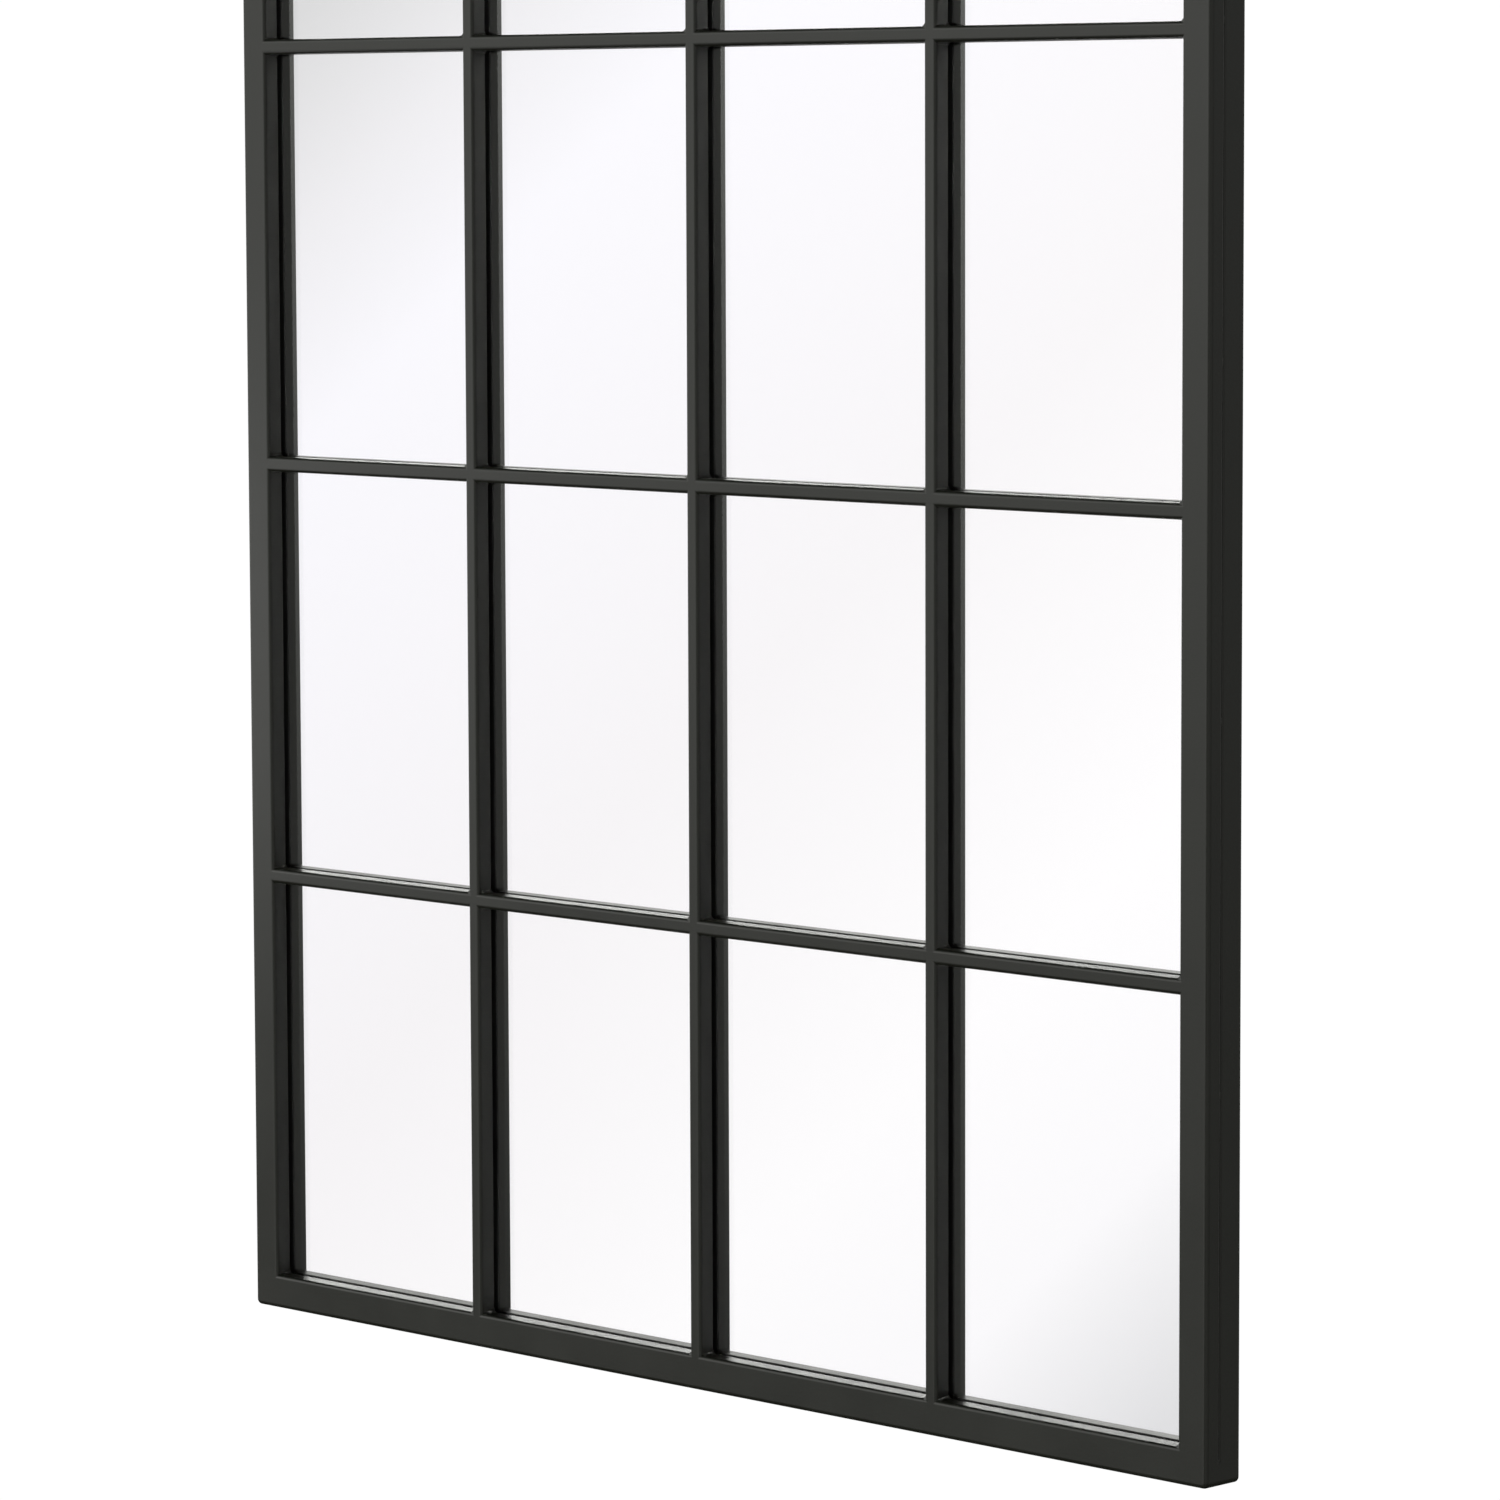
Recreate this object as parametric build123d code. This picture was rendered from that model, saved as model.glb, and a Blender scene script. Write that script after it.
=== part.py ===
"""Windowpane wall mirror: a welded grid of steel tubes in front of one sheet of mirror glass.

Millimetres. X runs across the mirror, Z is up, and the front looks along -Y.
The back of the frame and its hanging strap lie in the wall plane, Y = 0.
The origin is the middle of the strap's back, the place where the mirror is held.
"""
import os
from build123d import *

# Overall size and the number of panes
width = 914.0
height = 1524.0
columns = 4
rows = 5

# Front grid: flat tubes for the surround, slimmer ones between the panes, all of one depth
surround_face = 24.0
bar_face = 10.5
grid_depth = 12.7
surround_edge_radius = 3.0
surround_corner_radius = 4.0
bar_edge_radius = 2.5
bar_back_bevel = 0.8

# Back frame: tubes welded behind the surround, which hold the mirror
back_tube_face = 18.0
back_tube_depth = 20.0
back_tube_edge_radius = 2.0

# Walls of all tubes, and the seam between surround and back frame
tube_wall = 1.2
seam_edge_radius = 1.5
seam_weld_length = 15.0

# Mirror and its backing
glass_thickness = 4.0
glass_clearance = 1.0
glass_arris = 0.5
silver_thickness = 0.2
silver_margin = 1.0
board_thickness = 9.0
board_clearance = 1.5

# Hanging strap with its two keyholes
strap_height = 30.0
strap_thickness = 2.5
strap_below_top = 150.0
keyhole_spacing = 406.4
keyhole_entry_radius = 5.0
keyhole_slot_radius = 2.5
keyhole_slot_rise = 9.0

# Bent tabs that keep the board in
tab_width = 14.0
tab_thickness = 1.2
tab_foot = 12.0
tab_bend_radius = 1.6
tab_edge_gap = 1.0
tabs_per_side = 5
tabs_per_end = 3
tab_end_distance = 110.0

# An edge's rounding takes at most this share of the corner's radius that it runs round
largest_corner_share = 0.9

# Cutting tools reach this far past the faces that they cut through
overcut = 2.0

# Places that follow from the sizes above
front = -(grid_depth + back_tube_depth)
seam = -back_tube_depth
top = strap_below_top
bottom = top - height
middle = (top + bottom) / 2
opening_width = width - 2 * surround_face
opening_height = height - 2 * surround_face
pane_width = (opening_width - (columns - 1) * bar_face) / columns
pane_height = (opening_height - (rows - 1) * bar_face) / rows
column_pitch = pane_width + bar_face
row_pitch = pane_height + bar_face
pocket_width = width - 2 * back_tube_face
pocket_height = height - 2 * back_tube_face
silver_back = seam + glass_thickness + silver_thickness
board_back = silver_back + board_thickness


def upright_slab(sketch, start, depth):
    """A sketch drawn in the view from the front, made solid from Y = start for a depth towards the wall."""
    return extrude(Plane.XZ.offset(-start) * sketch, -depth)


def pane_x(column):
    return (column - (columns - 1) / 2) * column_pitch


def pane_z(row):
    return middle + (row - (rows - 1) / 2) * row_pitch


def front_face(solid):
    return solid.faces().sort_by(Axis.Y)[0]


def back_face(solid):
    return solid.faces().sort_by(Axis.Y)[-1]


def flared_section(span):
    """Section through a pane's space: it widens where the tubes are rounded in front and bevelled behind."""
    half = span / 2
    wide_front, wide_back = half + bar_edge_radius, half + bar_back_bevel
    side = (
        Line((0, front - overcut), (wide_front, front - overcut))
        + Line((wide_front, front - overcut), (wide_front, front))
        + RadiusArc((wide_front, front), (half, front + bar_edge_radius), bar_edge_radius)
        + Line((half, front + bar_edge_radius), (half, seam - bar_back_bevel))
        + Line((half, seam - bar_back_bevel), (wide_back, seam))
        + Line((wide_back, seam), (wide_back, seam + overcut))
        + Line((wide_back, seam + overcut), (0, seam + overcut))
    )
    return make_face(side + mirror(side, Plane.YZ))


def pane_void():
    """The space of one pane: where its two flared sections cross, the rounded edges meet in mitres."""
    reach = bar_face / 2
    tall = extrude(flared_section(pane_width), pane_height / 2 + reach, both=True)
    wide = extrude(flared_section(pane_height), pane_width / 2 + reach, both=True)
    return tall & (Rot(0, 90, 0) * wide)


def hollow_ring(outer_size, inner_size, start, depth):
    """The space inside four tubes that are joined round a rectangle."""
    outline = Rectangle(outer_size[0] - 2 * tube_wall, outer_size[1] - 2 * tube_wall)
    core = Rectangle(inner_size[0] + 2 * tube_wall, inner_size[1] + 2 * tube_wall)
    return upright_slab(outline - core, start + tube_wall, depth - 2 * tube_wall)


def bar_hollow(length):
    """The space inside a bar that lies along X, open at both ends."""
    section = Rectangle(grid_depth - 2 * tube_wall, bar_face - 2 * tube_wall)
    run = extrude(Plane.YZ * section, length / 2, both=True)
    return Pos(0, front + grid_depth / 2, 0) * run


def mitred(ring, face):
    """Four lengths of a rectangular ring, parted at 45 degrees in the corners."""
    reach = grid_depth + back_tube_depth
    half_w, half_h = width / 2, height / 2
    inner_x, inner_z = half_w - face, half_h - face
    side = Polyline((half_w, half_h), (half_w, -half_h), (inner_x, -inner_z), (inner_x, inner_z), close=True)
    end = Polyline((half_w, half_h), (-half_w, half_h), (-inner_x, inner_z), (inner_x, inner_z), close=True)
    right = Pos(0, 0, middle) * upright_slab(make_face(side), front, reach)
    upper = Pos(0, 0, middle) * upright_slab(make_face(end), front, reach)
    return {
        "left": ring & mirror(right, Plane.YZ),
        "right": ring & right,
        "top": ring & upper,
        "bottom": ring & mirror(upper, Plane.XY.offset(middle)),
    }


def seam_grooves():
    """The groove where the rounded edges of two tubes meet, on each side, short of the corner welds."""
    r = seam_edge_radius
    section = make_face(Line((0, -r), (0, r)) + RadiusArc((0, r), (-r, 0), r) + RadiusArc((-r, 0), (0, -r), r))
    sides = ((width / 2, height, 0), (height / 2, width, 90), (width / 2, height, 180), (height / 2, width, 270))
    grooves = []
    for distance, length, turn in sides:
        groove = extrude(section, length / 2 - seam_weld_length, both=True)
        grooves.append(Pos(0, seam, middle) * Rot(0, turn, 0) * Pos(distance, 0, 0) * groove)
    return grooves


def surround_tubes(void):
    """The flat tubes round the grid, with the panes' rounded edges cut into their inner sides."""
    outline = RectangleRounded(width, height, surround_corner_radius)
    ring = upright_slab(outline - Rectangle(opening_width, opening_height), front, grid_depth)
    radius = min(surround_edge_radius, largest_corner_share * surround_corner_radius)
    ring = fillet(front_face(ring).outer_wire().edges(), radius)
    ring = ring - hollow_ring((width, height), (opening_width, opening_height), front, grid_depth)
    ring = Pos(0, 0, middle) * ring
    for groove in seam_grooves():
        ring = ring - groove
    lengths = mitred(ring, surround_face)
    neighbours = {
        "left": [(0, row) for row in range(rows)],
        "right": [(columns - 1, row) for row in range(rows)],
        "top": [(column, rows - 1) for column in range(columns)],
        "bottom": [(column, 0) for column in range(columns)],
    }
    names = {"left": "left_stile", "right": "right_stile", "top": "head_rail", "bottom": "bottom_rail"}
    tubes = {}
    for side, tube in lengths.items():
        for column, row in neighbours[side]:
            tube = tube - Pos(pane_x(column), 0, pane_z(row)) * void
        tubes[names[side]] = tube
    return tubes


def upright_bars(void):
    """Full-height bars between the columns; their edges stay square where the cross bars are welded on."""
    blank = upright_slab(Rectangle(bar_face, opening_height), front, grid_depth)
    blank = blank - Rot(0, 90, 0) * bar_hollow(opening_height)
    for row in range(rows):
        for side in (-1, 1):
            blank = blank - Pos(side * column_pitch / 2, 0, pane_z(row) - middle) * void
    bars = {}
    for index in range(1, columns):
        x = (index - columns / 2) * column_pitch
        bars[f"upright_bar_{index}"] = Pos(x, 0, middle) * blank
    return bars


def cross_bars(void):
    """Short lengths welded between the uprights, one across each column under every pane but the lowest."""
    blank = upright_slab(Rectangle(pane_width, bar_face), front, grid_depth) - bar_hollow(pane_width)
    for side in (-1, 1):
        blank = blank - Pos(0, 0, side * row_pitch / 2) * void
    bars = {}
    for row in range(1, rows):
        for column in range(columns):
            place = Pos(pane_x(column), 0, pane_z(row) - row_pitch / 2)
            bars[f"cross_bar_{row}_{column + 1}"] = place * blank
    return bars


def back_frame():
    """Square tubes behind the surround, flush with its outer sides."""
    outline = RectangleRounded(width, height, surround_corner_radius)
    ring = upright_slab(outline - Rectangle(pocket_width, pocket_height), seam, back_tube_depth)
    ring = fillet(back_face(ring).edges(), min(back_tube_edge_radius, largest_corner_share * surround_corner_radius))
    ring = ring - hollow_ring((width, height), (pocket_width, pocket_height), seam, back_tube_depth)
    ring = Pos(0, 0, middle) * ring
    for groove in seam_grooves():
        ring = ring - groove
    names = {
        "left": "back_stile_left", "right": "back_stile_right", "top": "back_rail_top", "bottom": "back_rail_bottom"
    }
    return {names[side]: tube for side, tube in mitred(ring, back_tube_face).items()}


def mirror_sheets():
    """The glass with ground edges, its silver coat, and the board that backs them."""
    glass_w, glass_h = pocket_width - 2 * glass_clearance, pocket_height - 2 * glass_clearance
    glass = upright_slab(Rectangle(glass_w, glass_h), seam, glass_thickness)
    glass = chamfer(front_face(glass).edges() + back_face(glass).edges(), glass_arris)
    silver_w, silver_h = glass_w - 2 * silver_margin, glass_h - 2 * silver_margin
    silver = upright_slab(Rectangle(silver_w, silver_h), seam + glass_thickness, silver_thickness)
    board_w, board_h = pocket_width - 2 * board_clearance, pocket_height - 2 * board_clearance
    board = upright_slab(Rectangle(board_w, board_h), silver_back, board_thickness)
    sheets = {"mirror_glass": glass, "silver_coat": silver, "backing_board": board}
    return {name: Pos(0, 0, middle) * sheet for name, sheet in sheets.items()}


def hanging_strap():
    """A flat bar between the back stiles, flush with their backs, with two keyholes."""
    plate = Rectangle(pocket_width, strap_height)
    for side in (-1, 1):
        centre = side * keyhole_spacing / 2
        entry = Pos(centre, -keyhole_slot_rise / 2) * Circle(keyhole_entry_radius)
        slot = Pos(centre, keyhole_slot_rise / 2) * Circle(keyhole_slot_radius)
        neck = Pos(centre, 0) * Rectangle(2 * keyhole_slot_radius, keyhole_slot_rise)
        plate = plate - (entry + slot + neck)
    return {"hanging_strap": upright_slab(plate, -strap_thickness, strap_thickness)}


def board_tabs():
    """Angle tabs, welded to the back frame's inner sides and bent down over the board."""
    rise = -board_back - tab_edge_gap
    angle = Polyline(
        (0, 0), (tab_foot, 0), (tab_foot, tab_thickness), (tab_thickness, tab_thickness),
        (tab_thickness, rise), (0, rise), close=True
    )
    bend = make_face(angle).vertices().sort_by_distance((0, 0))[0]
    tab = extrude(fillet(bend, tab_bend_radius), tab_width / 2, both=True)
    side_run, end_run = height - 2 * tab_end_distance, width - 2 * tab_end_distance
    sides = (
        (pocket_width / 2, side_run, tabs_per_side, 0), (pocket_height / 2, end_run, tabs_per_end, 90),
        (pocket_width / 2, side_run, tabs_per_side, 180), (pocket_height / 2, end_run, tabs_per_end, 270),
    )
    tabs = []
    for distance, run, count, turn in sides:
        for index in range(count):
            along = (index / (count - 1) - 0.5) * run
            tabs.append(Pos(0, board_back, middle) * Rot(0, turn, 0) * Pos(-distance, 0, along) * tab)
    return {"board_tabs": Compound(tabs)}


def main():
    os.makedirs("parts", exist_ok=True)
    void = pane_void()
    pieces = {}
    pieces.update(surround_tubes(void))
    pieces.update(upright_bars(void))
    pieces.update(cross_bars(void))
    pieces.update(back_frame())
    pieces.update(mirror_sheets())
    pieces.update(hanging_strap())
    pieces.update(board_tabs())
    for name, piece in pieces.items():
        export_step(piece, f"parts/{name}.step")


main()
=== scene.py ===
"""Looks of the windowpane mirror: powder-coated steel grid, silvered float glass, fibreboard back.

Metres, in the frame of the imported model: X runs across the mirror and Z up, the front looks along -Y, and the
wall is the plane Y = 0.
"""
import math
import random

import bmesh
import bpy
from mathutils import Matrix, Vector


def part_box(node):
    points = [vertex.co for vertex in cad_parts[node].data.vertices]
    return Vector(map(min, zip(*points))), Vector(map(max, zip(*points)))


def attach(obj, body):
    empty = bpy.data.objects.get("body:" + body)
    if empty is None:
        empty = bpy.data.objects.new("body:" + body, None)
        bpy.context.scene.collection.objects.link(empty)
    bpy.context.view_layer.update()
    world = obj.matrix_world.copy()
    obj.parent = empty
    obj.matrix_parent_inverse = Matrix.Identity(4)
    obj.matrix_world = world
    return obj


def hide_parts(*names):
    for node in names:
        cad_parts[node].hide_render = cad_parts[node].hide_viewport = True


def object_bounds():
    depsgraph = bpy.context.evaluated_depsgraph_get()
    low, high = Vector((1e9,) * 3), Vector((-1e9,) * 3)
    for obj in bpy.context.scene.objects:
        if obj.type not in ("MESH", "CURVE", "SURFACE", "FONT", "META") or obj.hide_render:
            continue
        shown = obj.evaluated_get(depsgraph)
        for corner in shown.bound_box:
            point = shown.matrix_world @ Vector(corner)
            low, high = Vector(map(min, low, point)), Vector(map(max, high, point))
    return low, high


MM = 0.001
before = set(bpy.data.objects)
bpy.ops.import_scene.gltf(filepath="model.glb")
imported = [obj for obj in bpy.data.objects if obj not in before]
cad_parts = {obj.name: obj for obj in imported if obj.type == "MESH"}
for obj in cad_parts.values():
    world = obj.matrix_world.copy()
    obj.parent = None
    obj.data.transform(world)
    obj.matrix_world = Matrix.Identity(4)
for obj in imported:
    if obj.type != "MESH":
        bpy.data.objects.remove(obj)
cad_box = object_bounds()
chance = random.Random(11)

# Places read from the frame
lowest, highest = cad_box
front = lowest.y
glass_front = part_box("mirror_glass")[0].y

# The panes' spans, from the tubes and bars round them
edges_x = [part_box("left_stile")[1].x]
edges_z = [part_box("bottom_rail")[1].z]
for index in (1, 2, 3):
    edges_x += [corner.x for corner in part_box(f"upright_bar_{index}")]
for index in (1, 2, 3, 4):
    edges_z += [corner.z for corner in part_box(f"cross_bar_{index}_1")]
edges_x.append(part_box("right_stile")[0].x)
edges_z.append(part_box("head_rail")[0].z)
pane_spans_x = list(zip(edges_x[0::2], edges_x[1::2]))
pane_spans_z = list(zip(edges_z[0::2], edges_z[1::2]))

# Camera: where the photograph was taken from, worked out from the edges of the grid, with its lens and its
# sensor's width in millimetres
camera_place = Vector((2.9989, -2.9728, -0.5292))
camera_turn = math.radians(45.04)
camera_tilt = math.radians(5.561)
camera_roll = math.radians(-0.197)
camera_lens = 150.8
camera_sensor = 36.0

# The silvering is drawn this far into the glass's back face
silver_bite = 0.03 * MM

# Corner welds: the rounding of the tubes' front edges, the weld's section as shares of its leg across and up,
# and the depths behind the front at which it is drawn. It grows from nothing over its first stretch, the
# run-in, and its thickness and its lean wander between these shares
front_edge_radius = 2.5 * MM
corner_weld_section = (
    (-0.3, -0.3), (1.1, -0.3), (1.0, 0.02), (0.62, 0.2), (0.4, 0.4), (0.2, 0.62), (0.02, 1.0), (-0.3, 1.1),
)
corner_weld_depths = (0.3 * MM, 0.8 * MM, 1.6 * MM, 3.0 * MM, 5.0 * MM, 7.2 * MM, 9.6 * MM, 12.6 * MM)
corner_weld_run_in = 1.2 * MM
corner_weld_swell = (0.92, 1.08)
corner_weld_lean = (0.9, 1.1)

# The four corner welds of a pane: the way each grows across and up, its leg, and how full it is at the front.
# The photo shows the fullest one to the upper left of each crossing, which is a pane's lower right corner
pane_welds = (
    (1, 1, 2.2 * MM, 0.2),
    (-1, 1, 3.2 * MM, 0.85),
    (1, -1, 1.8 * MM, 0.3),
    (-1, -1, 1.8 * MM, 0.3),
)

# Beads: the distance between the rings that draw one, the fewest such steps, the corners of a ring, how its
# ends are rounded, and how much its thickness wanders
bead_step = 1.4 * MM
bead_fewest_steps = 6
bead_corners = 10
bead_end_least = 0.04
bead_end_fullness = 1.7
bead_swell = (0.88, 1.0)

# Tack welds on the seams: heights above the lower edge, of which the photo shows the lower four on the right
# side, places across, and how far the unseen ones stray from them, in millimetres. Each corner of the mirror is
# welded too, and seam_end is how far from it the seam begins
tack_heights = (248 * MM, 483 * MM, 706 * MM, 916 * MM, 1140 * MM, 1350 * MM)
tack_places = (-230 * MM, 0.0, 230 * MM)
tack_stray = 9
seam_end = 15 * MM

# A tack's thickness, how far it reaches to each side of its middle, and how deep that lies under the surface
tack_radius = 1.4 * MM
tack_reach = 3.6 * MM
tack_sunk = 1.5 * MM

# The beads at the strap's ends: thickness, distance in front of the wall, and distances from the strap's end
# and from its long edges
strap_bead_radius = 1.3 * MM
strap_bead_depth = 1.45 * MM
strap_bead_inset = 0.3 * MM
strap_bead_margin = 1 * MM

# The beads at the tabs' feet: thickness, and how far they stop short of the tab's front and back
tab_bead_radius = 1.1 * MM
tab_bead_front = 1.4 * MM
tab_bead_back = 0.8 * MM

# A corner of a tab counts as being at its back, or at its tube, when it is this close
back_closeness = 0.01 * MM
tube_closeness = 0.1 * MM

# Floor: the mirror hangs this far above it, and its paper fades out over the outer half of its radius
hanging_height = 600 * MM
floor_radius = 2.1
floor_fade_start = 0.5 * floor_radius

# The pale sweep that the mirror shows: the way it slants, where it starts and ends that way, and its colours
sweep_slant = (-0.707, 0.707, 1.0)
sweep_start = 0.12
sweep_end = -0.72
sweep_stops = [
    (0.0, "#cfcfd1"), (0.035, "#dadadb"), (0.075, "#efeef1"), (0.115, "#fbfaff"), (0.245, "#f8f6f8"),
    (0.35, "#fffeff"), (0.41, "#fbfafc"), (0.46, "#dfdfe1"), (0.50, "#d0d0d2"), (1.0, "#b9b9bc"),
]

# The sweep's strength low down, at its upper edge, and in the dark room above it, each with its height
sweep_foot = (-0.2, 1.08)
sweep_brim = (0.03, 1.02)
dark_room = (0.13, 0.08)

# The plain white that the camera sees behind the mirror
white_strength = 1.02

# Far soft boxes: turn in degrees from the front towards the left, rise, half width and strength.
# The first ones light the steel, and the others are only met through the glass.
# A box keeps its full strength out to box_heart of its half width, and fades from there
steel_boxes = (
    (62, 12, 28, 1.1), (35, 20, 25, 0.7), (20, 10, 35, 2.0), (-45, 5, 35, 0.8),
    (-135, 5, 35, 0.4), (90, 5, 25, 0.9), (-90, 5, 25, 0.9), (170, 15, 45, 1.0),
)
glass_boxes = ((50, 24, 20, 4.6), (-45, 25, 24, 8.0))
box_heart = 0.25

# Lamps: place, target, size and power of each
lamps = {
    "low_light": ((-1.60, -0.65, -1.00), (-0.3, 0, -0.8), 0.4, 1.55),
    "back_light": ((-0.60, 3.20, 0.60), (0, 0, -0.6), 2.0, 30),
}


def colour(code):
    """An sRGB hex code as the linear colour that the shaders use."""
    values = [int(code[i:i + 2], 16) / 255 for i in (1, 3, 5)]
    linear = [v / 12.92 if v <= 0.04045 else ((v + 0.055) / 1.055) ** 2.4 for v in values]
    return (*linear, 1.0)


def add(tree, kind, inputs=None, **settings):
    """Adds a node with its settings; an input is a value, or the output of another node to link."""
    made = tree.nodes.new(kind)
    for name, value in settings.items():
        setattr(made, name, value)
    for name, value in (inputs or {}).items():
        if isinstance(value, bpy.types.NodeSocket):
            tree.links.new(value, made.inputs[name])
        else:
            made.inputs[name].default_value = value
    return made


def new_material(name):
    """An empty node material, with its tree and its output node."""
    material = bpy.data.materials.new(name)
    material.use_nodes = True
    tree = material.node_tree
    tree.nodes.clear()
    return material, tree, add(tree, "ShaderNodeOutputMaterial")


def per_size(size):
    """The scale of a noise whose features are about this large, in metres."""
    return 1 / size


def satin_powder_coat():
    """Polyester powder, sprayed on blasted steel and baked.

    It gives a satin charcoal black with a fine orange peel and soft mottling.
    """
    material, tree, output = new_material("satin_powder_coat")
    place = add(tree, "ShaderNodeTexCoord").outputs["Object"]
    # The film's thickness drifts over about 45 mm, and tone and gloss drift with it
    mottling = add(tree, "ShaderNodeTexNoise", {"Vector": place, "Scale": per_size(45 * MM), "Detail": 3.0})
    tone = add(tree, "ShaderNodeValToRGB", {"Fac": mottling.outputs["Fac"]})
    tone.color_ramp.elements[0].position = 0.35
    tone.color_ramp.elements[0].color = colour("#191a14")
    tone.color_ramp.elements[1].position = 0.65
    tone.color_ramp.elements[1].color = colour("#1d1e18")
    gloss = add(tree, "ShaderNodeMapRange", {
        "Value": mottling.outputs["Fac"], "From Min": 0.3, "From Max": 0.7, "To Min": 0.36, "To Max": 0.42,
    })
    # The real ripples are about 1 mm apart; they are drawn a little coarser, so that they show
    ripple = add(tree, "ShaderNodeTexNoise", {"Vector": place, "Scale": per_size(1.8 * MM), "Detail": 2.0})
    bump = add(tree, "ShaderNodeBump", {
        "Height": ripple.outputs["Fac"], "Strength": 0.25, "Distance": 0.15 * MM,
    })
    shader = add(tree, "ShaderNodeBsdfPrincipled", {
        "Base Color": tone.outputs["Color"], "Roughness": gloss.outputs["Result"], "IOR": 1.5,
        "Specular IOR Level": 0.4, "Normal": bump.outputs["Normal"],
    })
    tree.links.new(shader.outputs["BSDF"], output.inputs["Surface"])
    return material


def float_glass():
    """Soda-lime float glass: clear, faintly green, fire-polished so that it has no texture at all."""
    material, tree, output = new_material("float_glass")
    shader = add(tree, "ShaderNodeBsdfPrincipled", {
        "Base Color": colour("#fdfefd"), "Roughness": 0.0, "IOR": 1.52, "Transmission Weight": 1.0,
    })
    tree.links.new(shader.outputs["BSDF"], output.inputs["Surface"])
    return material


def silvering():
    """Silver deposited on the glass's back: a neutral mirror."""
    material, tree, output = new_material("silvering")
    shader = add(tree, "ShaderNodeBsdfPrincipled", {
        "Base Color": colour("#fdfcfd"), "Metallic": 1.0, "Roughness": 0.0,
    })
    tree.links.new(shader.outputs["BSDF"], output.inputs["Surface"])
    return material


def raw_fibreboard():
    """Pressed wood fibre, sanded: dull brown with short flecks and a faint cloudiness."""
    material, tree, output = new_material("raw_fibreboard")
    place = add(tree, "ShaderNodeTexCoord").outputs["Object"]
    # Bundles of fibre are about 2.5 mm long, and the board's colour drifts over about 120 mm
    fibre = add(tree, "ShaderNodeTexNoise", {"Vector": place, "Scale": per_size(2.5 * MM), "Detail": 4.0})
    cloud = add(tree, "ShaderNodeTexNoise", {"Vector": place, "Scale": per_size(120 * MM), "Detail": 2.0})
    blend = add(tree, "ShaderNodeMix", {"Factor": 0.7, "A": cloud.outputs["Fac"], "B": fibre.outputs["Fac"]})
    tone = add(tree, "ShaderNodeValToRGB", {"Fac": blend.outputs["Result"]})
    tone.color_ramp.elements[0].position = 0.35
    tone.color_ramp.elements[0].color = colour("#8a6c4d")
    tone.color_ramp.elements[1].position = 0.68
    tone.color_ramp.elements[1].color = colour("#9b7c59")
    bump = add(tree, "ShaderNodeBump", {
        "Height": fibre.outputs["Fac"], "Strength": 0.2, "Distance": 0.2 * MM,
    })
    shader = add(tree, "ShaderNodeBsdfPrincipled", {
        "Base Color": tone.outputs["Color"], "Roughness": 0.85, "Normal": bump.outputs["Normal"],
    })
    tree.links.new(shader.outputs["BSDF"], output.inputs["Surface"])
    return material


def paper_floor():
    """Matt white paper, fading to nothing at its rim, so that it ends without a line."""
    material, tree, output = new_material("paper_floor")
    place = add(tree, "ShaderNodeTexCoord").outputs["Object"]
    level = add(tree, "ShaderNodeSeparateXYZ", {"Vector": place})
    flat = add(tree, "ShaderNodeCombineXYZ", {"X": level.outputs["X"], "Y": level.outputs["Y"]})
    reach = add(tree, "ShaderNodeVectorMath", {0: flat.outputs["Vector"]}, operation="LENGTH")
    fade = add(tree, "ShaderNodeMapRange", {
        "Value": reach.outputs["Value"], "From Min": floor_fade_start, "From Max": floor_radius,
        "To Min": 1.0, "To Max": 0.0,
    }, interpolation_type="SMOOTHSTEP")
    paper = add(tree, "ShaderNodeBsdfPrincipled", {
        "Base Color": colour("#f2f1ef"), "Roughness": 0.9, "Emission Color": colour("#ffffff"),
        "Emission Strength": 0.68, "Alpha": fade.outputs["Result"],
    })
    tree.links.new(paper.outputs["BSDF"], output.inputs["Surface"])
    return material


def shine(tree, heading, boxes):
    """A light from soft boxes in the far room: each is brightest in its middle and fades to its rim."""
    level = add(tree, "ShaderNodeMath", {0: 0.0, 1: 0.0}, operation="ADD")
    for turn, rise, half_width, strength in boxes:
        across, up = math.radians(turn), math.radians(rise)
        aim = (-math.sin(across) * math.cos(up), -math.cos(across) * math.cos(up), math.sin(up))
        near = add(tree, "ShaderNodeVectorMath", {0: heading, 1: aim}, operation="DOT_PRODUCT")
        box = add(tree, "ShaderNodeMapRange", {
            "Value": near.outputs["Value"], "From Min": math.cos(math.radians(half_width)),
            "From Max": math.cos(math.radians(box_heart * half_width)), "To Min": 0.0, "To Max": strength,
        }, interpolation_type="SMOOTHSTEP")
        level = add(tree, "ShaderNodeMath", {
            0: level.outputs["Value"], 1: box.outputs["Result"],
        }, operation="ADD")
    lit = add(tree, "ShaderNodeBackground", {
        "Color": colour("#fcfdf9"), "Strength": level.outputs["Value"],
    })
    return lit.outputs["Background"]


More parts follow.
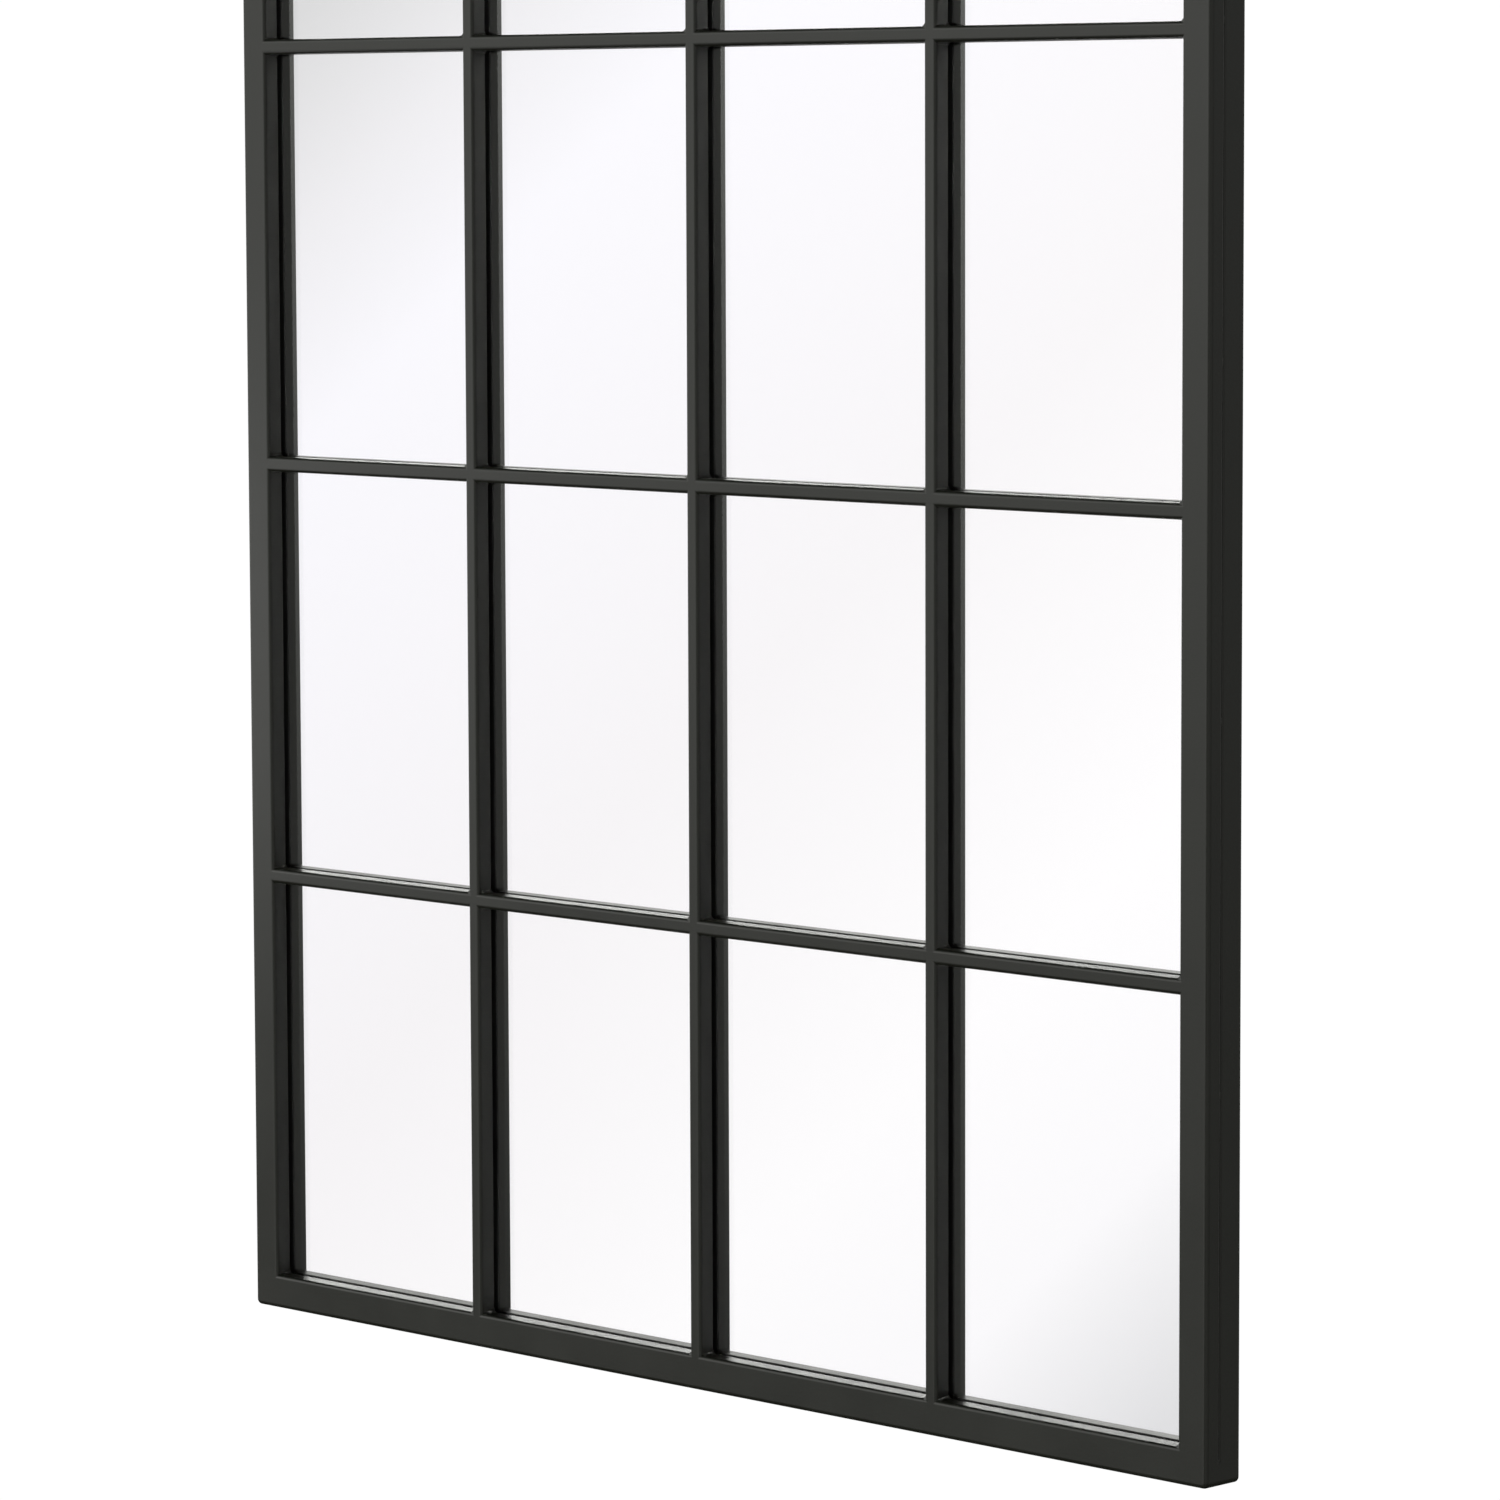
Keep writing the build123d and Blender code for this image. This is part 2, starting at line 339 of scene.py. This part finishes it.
def pale_sweep(tree, heading):
    """The sweep that the mirror shows: it lies across the room at a slant, with the dark room above it."""
    slant = add(tree, "ShaderNodeVectorMath", {0: heading, 1: sweep_slant}, operation="DOT_PRODUCT")
    across = add(tree, "ShaderNodeMapRange", {
        "Value": slant.outputs["Value"], "From Min": sweep_start, "From Max": sweep_end,
    })
    sweep = add(tree, "ShaderNodeValToRGB", {"Fac": across.outputs["Result"]})
    sweep.color_ramp.elements[0].color = colour(sweep_stops[0][1])
    sweep.color_ramp.elements[1].color = colour(sweep_stops[-1][1])
    for place, code in sweep_stops[1:-1]:
        sweep.color_ramp.elements.new(place).color = colour(code)
    part = add(tree, "ShaderNodeSeparateXYZ", {"Vector": heading})
    glow = add(tree, "ShaderNodeMapRange", {
        "Value": part.outputs["Z"], "From Min": sweep_foot[0], "From Max": sweep_brim[0],
        "To Min": sweep_foot[1], "To Max": sweep_brim[1],
    })
    fall = add(tree, "ShaderNodeMapRange", {
        "Value": part.outputs["Z"], "From Min": sweep_brim[0], "From Max": dark_room[0],
        "To Min": glow.outputs["Result"], "To Max": dark_room[1],
    }, interpolation_type="SMOOTHSTEP")
    pale = add(tree, "ShaderNodeBackground", {
        "Color": sweep.outputs["Color"], "Strength": fall.outputs["Result"],
    })
    return pale.outputs["Background"]


def studio_room():
    """White to the eye and a pale sweep in the glass; soft boxes, far off on all sides, light the steel."""
    world = bpy.data.worlds.new("studio_room")
    bpy.context.scene.world = world
    world.use_nodes = True
    tree = world.node_tree
    tree.nodes.clear()
    heading = add(tree, "ShaderNodeTexCoord").outputs["Generated"]
    # Light that has come through the glass meets the sweep and its own boxes, all other light meets the boxes
    # that are meant for the steel, and the camera's own rays meet plain white
    in_glass = add(tree, "ShaderNodeAddShader", {
        0: shine(tree, heading, glass_boxes), 1: pale_sweep(tree, heading),
    })
    ray = add(tree, "ShaderNodeLightPath")
    lit = add(tree, "ShaderNodeMixShader", {
        0: ray.outputs["Is Transmission Ray"], 1: shine(tree, heading, steel_boxes),
        2: in_glass.outputs["Shader"],
    })
    white = add(tree, "ShaderNodeBackground", {"Color": colour("#ffffff"), "Strength": white_strength})
    seen = add(tree, "ShaderNodeMixShader", {
        0: ray.outputs["Is Camera Ray"], 1: lit.outputs["Shader"], 2: white.outputs["Background"],
    })
    output = add(tree, "ShaderNodeOutputWorld")
    tree.links.new(seen.outputs["Shader"], output.inputs["Surface"])


def soft_light(name, place, target, size, power):
    """A square area light that is aimed at a point, and is seen neither itself nor in the glass."""
    data = bpy.data.lights.new(name, "AREA")
    data.size = size
    data.energy = power
    light = bpy.data.objects.new(name, data)
    bpy.context.scene.collection.objects.link(light)
    light.location = place
    light.rotation_euler = (Vector(target) - Vector(place)).to_track_quat("-Z", "Y").to_euler()
    light.visible_camera = False
    light.visible_transmission = False


def make_camera():
    """The camera at the photo's place: upright it looks along Y, then it is turned, tilted and rolled."""
    data = bpy.data.cameras.new("photo_camera")
    data.lens = camera_lens
    data.sensor_width = camera_sensor
    camera = bpy.data.objects.new("photo_camera", data)
    bpy.context.scene.collection.objects.link(camera)
    turn = Matrix.Rotation(camera_turn, 4, "Z")
    tilt = Matrix.Rotation(math.pi / 2 - camera_tilt, 4, "X")
    roll = Matrix.Rotation(camera_roll, 4, "Z")
    camera.matrix_world = Matrix.Translation(camera_place) @ turn @ tilt @ roll
    bpy.context.scene.camera = camera


def make_object(name, shape, material):
    """Turns a bmesh into an object with one material, its place in its mesh."""
    mesh = bpy.data.meshes.new(name)
    shape.to_mesh(mesh)
    shape.free()
    mesh.materials.append(material)
    made = bpy.data.objects.new(name, mesh)
    bpy.context.scene.collection.objects.link(made)
    return made


def make_floor(material):
    """A round of white paper below the mirror, which the steel doesn't mirror."""
    shape = bmesh.new()
    bmesh.ops.create_circle(shape, cap_ends=True, segments=96, radius=floor_radius)
    bmesh.ops.translate(shape, verts=shape.verts, vec=(0, 0, lowest.z - hanging_height))
    floor = make_object("floor", shape, material)
    floor.visible_glossy = False


def make_silver_layer(material):
    """The silvering reaches a hair into the glass, so that light inside the glass meets the silver first."""
    low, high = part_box("silver_coat")
    low.y -= silver_bite
    shape = bmesh.new()
    bmesh.ops.create_cube(shape, size=1.0)
    bmesh.ops.scale(shape, verts=shape.verts, vec=high - low)
    bmesh.ops.translate(shape, verts=shape.verts, vec=(low + high) / 2)
    layer = make_object("silver_layer", shape, material)
    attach(layer, "root")
    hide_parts("silver_coat")


def edge_drop(depth):
    """How far a rounded edge has fallen away, at a depth behind the front."""
    short = max(front_edge_radius - depth, 0)
    return front_edge_radius - math.sqrt(front_edge_radius ** 2 - short ** 2)


def extrude_to(shape, tip, places):
    """Extrudes a weld's tip face to these places, or makes the first face there when it has no tip yet."""
    if tip is None:
        return shape.faces.new([shape.verts.new(place) for place in places])
    tip, = bmesh.ops.extrude_discrete_faces(shape, faces=[tip])["faces"]
    for vertex, place in zip(tip.verts, places):
        vertex.co = place
    return tip


def add_corner_weld(shape, x, z, side, rise, leg, front_share):
    """A fillet weld down an inner corner of a pane, ground away towards the front and full at the glass."""
    tip = None
    for depth in corner_weld_depths:
        fullness = front_share + (1 - front_share) * depth / corner_weld_depths[-1]
        size = leg * fullness * min(1, depth / corner_weld_run_in) * chance.uniform(*corner_weld_swell)
        lean = chance.uniform(*corner_weld_lean)
        drop = edge_drop(depth)
        tip = extrude_to(shape, tip, [
            (x + side * (across * size * lean - drop), front + depth, z + rise * (up * size / lean - drop))
            for across, up in corner_weld_section
        ])


def add_bead(shape, start, end, radius):
    """A short uneven weld bead with round ends, half sunk where it lies."""
    run = end - start
    across = run.orthogonal().normalized()
    over = run.cross(across).normalized()
    steps = max(bead_fewest_steps, round(run.length / bead_step))
    tip = None
    for step in range(steps + 1):
        along = step / steps
        arch = math.sqrt(max(bead_end_least, 1 - (2 * along - 1) ** 2))
        swell = radius * min(1, arch * bead_end_fullness) * chance.uniform(*bead_swell)
        middle = start + run * along
        tip = extrude_to(shape, tip, [
            middle + swell * (math.cos(turn) * across + math.sin(turn) * over)
            for turn in (math.tau * i / bead_corners for i in range(bead_corners))
        ])


def make_weld_piece(name, shape, material):
    """Closes a set of welds where they began, smooths them, and lets them ride on the mirror."""
    bmesh.ops.holes_fill(shape, edges=shape.edges)
    bmesh.ops.recalc_face_normals(shape, faces=shape.faces)
    for face in shape.faces:
        face.smooth = True
    piece = make_object(name, shape, material)
    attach(piece, "root")


def make_corner_welds(material):
    """Welds in all inner corners of the grid."""
    shape = bmesh.new()
    for left, right in pane_spans_x:
        for low, high in pane_spans_z:
            for side, rise, leg, front_share in pane_welds:
                x = left if side > 0 else right
                z = low if rise > 0 else high
                add_corner_weld(shape, x, z, side, rise, leg, front_share)
    make_weld_piece("corner_welds", shape, material)


def add_tack(shape, x, z, along_x, along_z):
    """A tack weld over the seam; it reaches this many times tack_reach to each side, along X or along Z."""
    start = Vector((x - along_x * tack_reach, glass_front, z - along_z * tack_reach))
    end = Vector((x + along_x * tack_reach, glass_front, z + along_z * tack_reach))
    add_bead(shape, start, end, tack_radius)


def make_seam_tacks(material):
    """Tack welds that bridge the seam round the outside, and the ends of the corner welds."""
    shape = bmesh.new()
    for side in (-1, 1):
        x = side * (highest.x - tack_sunk)
        for height in tack_heights:
            stray = chance.uniform(-tack_stray, tack_stray) * MM if side < 0 else 0
            add_tack(shape, x, lowest.z + height + stray, 0, 1)
        for z in (lowest.z + seam_end, highest.z - seam_end):
            add_tack(shape, x, z, 0, 1)
    for z in (lowest.z + tack_sunk, highest.z - tack_sunk):
        for place in tack_places:
            add_tack(shape, place + chance.uniform(-tack_stray, tack_stray) * MM, z, 1, 0)
        for x in (lowest.x + seam_end, highest.x - seam_end):
            add_tack(shape, x, z, 1, 0)
    make_weld_piece("seam_tacks", shape, material)


def make_back_welds(material):
    """Beads at the strap's ends, and up both edges of every tab where it stands on its tube."""
    shape = bmesh.new()
    low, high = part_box("hanging_strap")
    for x in (low.x + strap_bead_inset, high.x - strap_bead_inset):
        start = Vector((x, -strap_bead_depth, low.z + strap_bead_margin))
        end = Vector((x, -strap_bead_depth, high.z - strap_bead_margin))
        add_bead(shape, start, end, strap_bead_radius)
    low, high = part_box("board_tabs")
    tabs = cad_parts["board_tabs"]
    points = [tabs.matrix_world @ vertex.co for vertex in tabs.data.vertices]
    tips = {(round(p.x, 5), round(p.z, 5)) for p in points if p.y > high.y - back_closeness}
    for x, z in sorted(tips):
        if min(x - low.x, high.x - x, z - low.z, high.z - z) < tube_closeness:
            start = Vector((x, low.y + tab_bead_front, z))
            end = Vector((x, high.y - tab_bead_back, z))
            add_bead(shape, start, end, tab_bead_radius)
    make_weld_piece("back_welds", shape, material)


def finish_nodes(coat, glass, silver, board):
    """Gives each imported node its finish."""
    special = {"mirror_glass": glass, "silver_coat": silver, "backing_board": board}
    for name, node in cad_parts.items():
        node.data.materials.clear()
        node.data.materials.append(special.get(name, coat))


coat = satin_powder_coat()
silver = silvering()
finish_nodes(coat, float_glass(), silver, raw_fibreboard())
make_silver_layer(silver)
make_corner_welds(coat)
make_seam_tacks(coat)
make_back_welds(coat)
make_floor(paper_floor())
studio_room()
for name, (place, target, size, power) in lamps.items():
    soft_light(name, place, target, size, power)
make_camera()
bpy.context.scene.view_settings.view_transform = "Standard"
